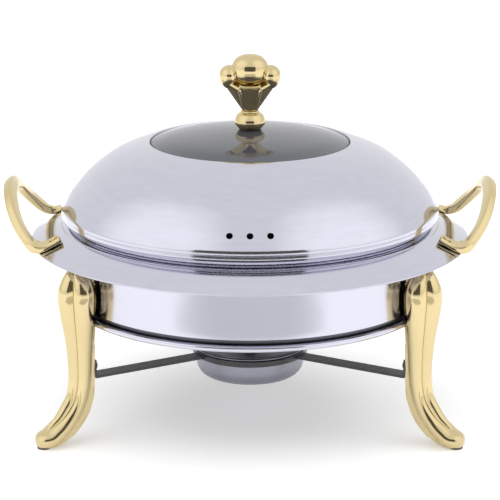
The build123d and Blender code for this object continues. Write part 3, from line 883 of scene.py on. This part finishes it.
# Sections down a leg: radius, height, lean from straight down in degrees, half width, reach of the
# middle lobe, reach of the side lobes, reach to the back, and how far the lobes have melted into the toe.
LEG_LINE = [
    (161.6, 149.6, -4, 1.0, 0.8, 0.5, 0.9, 0),
    (161.7, 148.8, -4, 4.8, 3.8, 2.0, 4.0, 0),
    (161.8, 146.6, -3, 8.8, 6.6, 3.4, 7.2, 0),
    (161.9, 143.2, -1, 12.6, 9.2, 4.8, 9.9, 0),
    (162.1, 138.4, 0, 16.2, 11.8, 6.0, 11.4, 0),
    (162.3, 131.0, 0, 19.0, 14.6, 7.0, 12.0, 0),
    (162.4, 122.0, 0, 19.5, 15.2, 7.3, 12.0, 0),
    (161.8, 108.0, 0, 17.8, 14.1, 6.7, 11.4, 0),
    (161.0, 92.0, 0, 15.3, 12.0, 5.8, 10.6, 0),
    (160.6, 77.0, 0, 13.2, 10.5, 5.0, 10.2, 0),
    (160.5, 62.0, 2, 11.9, 9.7, 4.6, 10.1, 0),
    (161.2, 49.0, 8, 11.3, 9.6, 4.5, 10.8, 0),
    (164.0, 36.5, 22, 11.0, 9.8, 4.7, 11.8, 0),
    (169.2, 26.6, 38, 11.1, 10.4, 5.0, 12.0, 0.04),
    (176.6, 18.0, 55, 11.5, 9.7, 5.6, 11.6, 0.2),
    (184.6, 12.6, 70, 11.9, 8.0, 5.7, 11.0, 0.55),
    (190.4, 9.9, 80, 11.7, 5.6, 5.4, 10.0, 0.92),
    (195.4, 8.8, 85, 9.9, 3.4, 4.7, 8.6, 1),
    (198.9, 8.4, 88, 7.0, 2.0, 3.4, 7.2, 1),
    (200.1, 8.2, 90, 3.4, 0.9, 1.7, 3.8, 1),
    (200.6, 8.1, 90, 0.6, 0.4, 0.5, 0.9, 1),
]


LEG_BACK = 150.4         # radius of the flat backs
BACK_FROM = 50           # height from which they are flat
SOLE_GAP = 0.25          # between a toe and the table


def oval_exit(turn, centre, radii):
    """How far a ray from the section's middle travels before it leaves an oval."""
    c, s = cos(turn), sin(turn)
    a = (c / radii[0]) ** 2 + (s / radii[1]) ** 2
    b = c * centre[0] / radii[0] ** 2 + s * centre[1] / radii[1] ** 2
    inside = (centre[0] / radii[0]) ** 2 + (centre[1] / radii[1]) ** 2 - 1
    square = b * b - a * inside
    if square < 0:
        return 0.0
    return max(0.0, (b + sqrt(square)) / a)


def leg_ring(radius, height, lean, width, front, side, back, melt):
    """One section of a leg that stands out along X, in millimetres."""
    lobe = 0.50 * width * (1 - 0.8 * melt)
    across = width * (0.45 + 0.5 * melt)
    deep = 0.475 * width * (1 - melt) + melt * (side + back) / 2
    heel = width * (0.66 - 0.3 * melt)

    def middle_lobe(turn):
        return oval_exit(turn, (front - lobe, 0), (lobe, lobe))

    def side_lobe(turn):
        reach = oval_exit(turn, (side - deep, width - across), (deep, across))
        if cos(turn) < -1e-6:
            reach = max(reach, min(back / -cos(turn), heel / max(1e-6, sin(turn))))
        return reach

    low, high = 0.0, pi / 2
    for _ in range(40):
        guess = (low + high) / 2
        if middle_lobe(guess) > side_lobe(guess):
            low = guess
        else:
            high = guess
    crease = max(low, 0.02)
    turns = [crease * i / 9 for i in range(10)] + [crease + (pi - crease) * i / 32 for i in range(1, 33)]
    half = [(turn, max(middle_lobe(turn), side_lobe(turn))) for turn in turns]
    outline = half + [(-turn, reach) for turn, reach in reversed(half[1:-1])]
    tilt = radians(lean)
    outwards = Vector((cos(tilt), 0, sin(tilt)))
    ring = []
    for turn, reach in outline:
        point = Vector((radius, reach * sin(turn), height)) + outwards * (reach * cos(turn))
        if height > BACK_FROM:
            point.x = max(point.x, LEG_BACK)
        point.z = max(point.z, SOLE_GAP)
        ring.append(point)
    return ring


def leg_rings():
    """Sections of a leg from its rounded top to the end of its toe."""
    keys = [Vector(row) for row in LEG_LINE]
    rows = spline(keys, 12 * (len(keys) - 1) // 2 + 1)
    return [leg_ring(*row[:7], min(1, max(0, row[7]))) for row in rows]


class CHAFING_OT_legs(bpy.types.Operator):
    """Build the three lobed legs, each with its rounded toe"""

    bl_idname = "chafing.legs"
    bl_label = "Legs"

    def execute(self, context):
        gold = finish_of(context, "polished_gold")
        rings = leg_rings()
        for node, turn in LEG_TURNS.items():
            spin = Matrix.Rotation(radians(turn), 3, "Z")
            turned = [[spin @ point for point in ring] for ring in rings]
            leg = lofted(node.replace("leg_", "lobed_leg_"), turned, gold, 30)
            place(leg, "stand", "gold_casting", node)
        coat(context, "pressed_felt", "foot_pads")
        return {"FINISHED"}


ROD_SIDES = 28


class CHAFING_OT_stand(bpy.types.Operator):
    """Build the support ring and finish the carrier of the burner"""

    bl_idname = "chafing.stand"
    bl_label = "Ring and carrier"

    def execute(self, context):
        rod = context.scene.chafing_sizes.ring / MM
        reach = RING_BOX[1].x / MM - rod
        height = (RING_BOX[0].z + RING_BOX[1].z) / 2 / MM
        turns = [2 * pi * i / ROD_SIDES for i in range(ROD_SIDES)]
        profile = [Vector((reach + rod * cos(turn), height + rod * sin(turn))) for turn in turns]
        ring = spun("ring_rod", profile, finish_of(context, "polished_steel"), 360, closed=True)
        place(ring, "stand", "mirror_steel", "support_ring")
        coat(context, "black_enamel", "burner_strip_left", "burner_strip_right", "burner_strip_rear")
        coat(context, "black_enamel", "burner_holder_ring", "strip_screws")
        return {"FINISHED"}


# ---- burner ------------------------------------------------------------------------------------------


class CHAFING_OT_burner(bpy.types.Operator):
    """Build the burner's cup with its rolled rim, and finish its top, wick and cover"""

    bl_idname = "chafing.burner"
    bl_label = "Burner"

    def execute(self, context):
        outside = context.scene.chafing_sizes.cup / MM
        floor, rim = CUP_BOX[0].z / MM, CUP_BOX[1].z / MM
        reach = CUP_BOX[1].x / MM
        inside = outside - 0.8
        profile = rounded([
            (0, floor, 0), (outside, floor, 11.0), (outside, rim - 1.5, 0.25), (reach, rim - 1.5, 0.7),
            (reach, rim, 0.7), (inside, rim, 0.7), (inside, floor + 0.8, 10.2), (0, floor + 0.8, 0)], 7)
        cup = spun("cup_shell", filled(profile, 4.0), finish_of(context, "turned_satin"), 160)
        place(cup, "burner", "satin_steel", "burner_cup")
        coat(context, "turned_satin", "burner_top", "burner_cover", "burner_rivet")
        coat(context, "mineral_fibre", "burner_wick")
        return {"FINISHED"}


# ---- stage -------------------------------------------------------------------------------------------


def card(name, size, location, rotation, strength):
    """A soft studio lamp."""
    lamp = bpy.data.lights.new(name, "AREA")
    lamp.shape = "RECTANGLE"
    lamp.size, lamp.size_y = size
    lamp.energy = strength
    thing = bpy.data.objects.new(name, lamp)
    thing.visible_glossy = False
    thing.location = location
    thing.rotation_euler = [radians(angle) for angle in rotation]
    bpy.context.scene.collection.objects.link(thing)
    return thing


def sheet(name, corners, material):
    """A flat card with four corners, in metres."""
    return piece(name, corners, [(0, 1, 2, 3)], material)


GLOWS = ((-0.76, -0.32, 0.57), (0.76, -0.32, 0.57))      # towards the brighter parts of the surround
SKY = 0.97               # strength of the surround
GLOW = 0.34              # how much stronger its brighter parts are
LENS = 144               # millimetres, on a 36 mm sensor
LOOK_DOWN = 15.4177      # degrees


def studio_sky():
    """A white surround with two soft, brighter parts."""
    world = bpy.data.worlds.new("studio")
    world.use_nodes = True
    nodes, links = world.node_tree.nodes, world.node_tree.links
    sky = nodes["Background"]
    sky.inputs["Color"].default_value = (1.0, 1.0, 1.0, 1)
    around = nodes.new("ShaderNodeTexCoord")
    total = nodes.new("ShaderNodeMath")
    total.operation = "ADD"
    for i, aim in enumerate(GLOWS):
        towards = nodes.new("ShaderNodeVectorMath")
        towards.operation = "DOT_PRODUCT"
        towards.inputs[1].default_value = Vector(aim).normalized()
        links.new(around.outputs["Generated"], towards.inputs[0])
        glow = nodes.new("ShaderNodeMapRange")
        glow.interpolation_type = "SMOOTHSTEP"
        glow.inputs["From Min"].default_value = 0.72
        glow.inputs["From Max"].default_value = 0.98
        glow.inputs["To Min"].default_value = SKY / 2
        glow.inputs["To Max"].default_value = SKY / 2 + GLOW
        links.new(towards.outputs["Value"], glow.inputs["Value"])
        links.new(glow.outputs["Result"], total.inputs[i])
    links.new(total.outputs["Value"], sky.inputs["Strength"])
    return world


class CHAFING_OT_stage(bpy.types.Operator):
    """Build the pale floor, the soft studio light and the camera"""

    bl_idname = "chafing.stage"
    bl_label = "Stage"

    def execute(self, context):
        scene = context.scene
        scene.view_settings.view_transform = "Standard"
        floor_finish, tree, shader = new_finish("floor_paint")
        grain = speckle(tree, 3, 2)
        tint(tree, grain, shader.inputs["Base Color"], (0.93, 0.93, 0.93), (0.95, 0.95, 0.95))
        shader.inputs["Roughness"].default_value = 0.9
        shader.inputs["Specular IOR Level"].default_value = 0.1
        floor = sheet("floor", [(-9, -9, 0), (9, -9, 0), (9, 9, 0), (-9, 9, 0)], floor_finish)
        shader.inputs["Emission Color"].default_value = (1, 1, 1, 1)
        shader.inputs["Emission Strength"].default_value = 0.22
        dark, tree, shader = new_finish("dark_card_paint")
        cloud = speckle(tree, 4, 2)
        tint(tree, cloud, shader.inputs["Base Color"], (0.065, 0.062, 0.058), (0.08, 0.076, 0.07))
        flag = sheet(
            "dark_card",
            [(-0.47, -0.78, 0.16), (0.47, -0.78, 0.16), (0.47, -0.78, 0.62), (-0.47, -0.78, 0.62)], dark)
        grey, tree, shader = new_finish("grey_card_paint")
        cloud = speckle(tree, 4, 2)
        tint(tree, cloud, shader.inputs["Base Color"], (0.62, 0.62, 0.62), (0.66, 0.66, 0.66))
        mat = sheet(
            "grey_card",
            [(-0.36, -0.90, 0.002), (0.36, -0.90, 0.002), (0.36, -0.38, 0.002), (-0.36, -0.38, 0.002)], grey)
        for reflected in (flag, mat):
            reflected.visible_camera = False
            reflected.visible_diffuse = False
            reflected.visible_transmission = False
            reflected.visible_shadow = False
        scene.world = studio_sky()
        card("key", (2.2, 2.2), (-1.1, -0.9, 2.4), (22, -24, 0), 14)
        card("fill", (1.8, 1.8), (1.6, -0.2, 1.8), (8, 40, 0), 7)
        lens = bpy.data.cameras.new("camera")
        lens.lens = LENS
        lens.sensor_width = 36
        camera = bpy.data.objects.new("camera", lens)
        camera.location = (0, -1.6268, 0.5892)
        camera.rotation_euler = (radians(90 - LOOK_DOWN), 0, 0)
        scene.collection.objects.link(camera)
        scene.camera = camera
        return {"FINISHED"}


# ---- panel and registration ----------------------------------------------------------------------------

OPERATORS = (
    CHAFING_OT_stage,
    CHAFING_OT_lid,
    CHAFING_OT_window,
    CHAFING_OT_knob,
    CHAFING_OT_food_pan,
    CHAFING_OT_water_pan,
    CHAFING_OT_handles,
    CHAFING_OT_legs,
    CHAFING_OT_stand,
    CHAFING_OT_burner,
)


class CHAFING_PT_sidebar(bpy.types.Panel):
    """Lists the dish's pieces, sizes and colours"""

    bl_idname = "CHAFING_PT_sidebar"
    bl_label = "Chafing Dish"
    bl_space_type = "VIEW_3D"
    bl_region_type = "UI"
    bl_category = "Chafing Dish"

    def draw(self, context):
        for operator in OPERATORS:
            self.layout.operator(operator.bl_idname)
        for group in (context.scene.chafing_sizes, context.scene.chafing_colours):
            box = self.layout.box()
            for name in group.__annotations__:
                box.prop(group, name)


CLASSES = (ChafingSizes, ChafingColours, *OPERATORS, CHAFING_PT_sidebar)


def register():
    for item in CLASSES:
        bpy.utils.register_class(item)
    bpy.types.Scene.chafing_sizes = bpy.props.PointerProperty(type=ChafingSizes)
    bpy.types.Scene.chafing_colours = bpy.props.PointerProperty(type=ChafingColours)


def unregister():
    del bpy.types.Scene.chafing_colours
    del bpy.types.Scene.chafing_sizes
    for item in reversed(CLASSES):
        bpy.utils.unregister_class(item)


def main():
    """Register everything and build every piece."""
    register()
    bpy.ops.chafing.stage()
    bpy.ops.chafing.lid()
    bpy.ops.chafing.window()
    bpy.ops.chafing.knob()
    bpy.ops.chafing.food_pan()
    bpy.ops.chafing.water_pan()
    bpy.ops.chafing.handles()
    bpy.ops.chafing.legs()
    bpy.ops.chafing.stand()
    bpy.ops.chafing.burner()


if __name__ == "__main__":
    main()
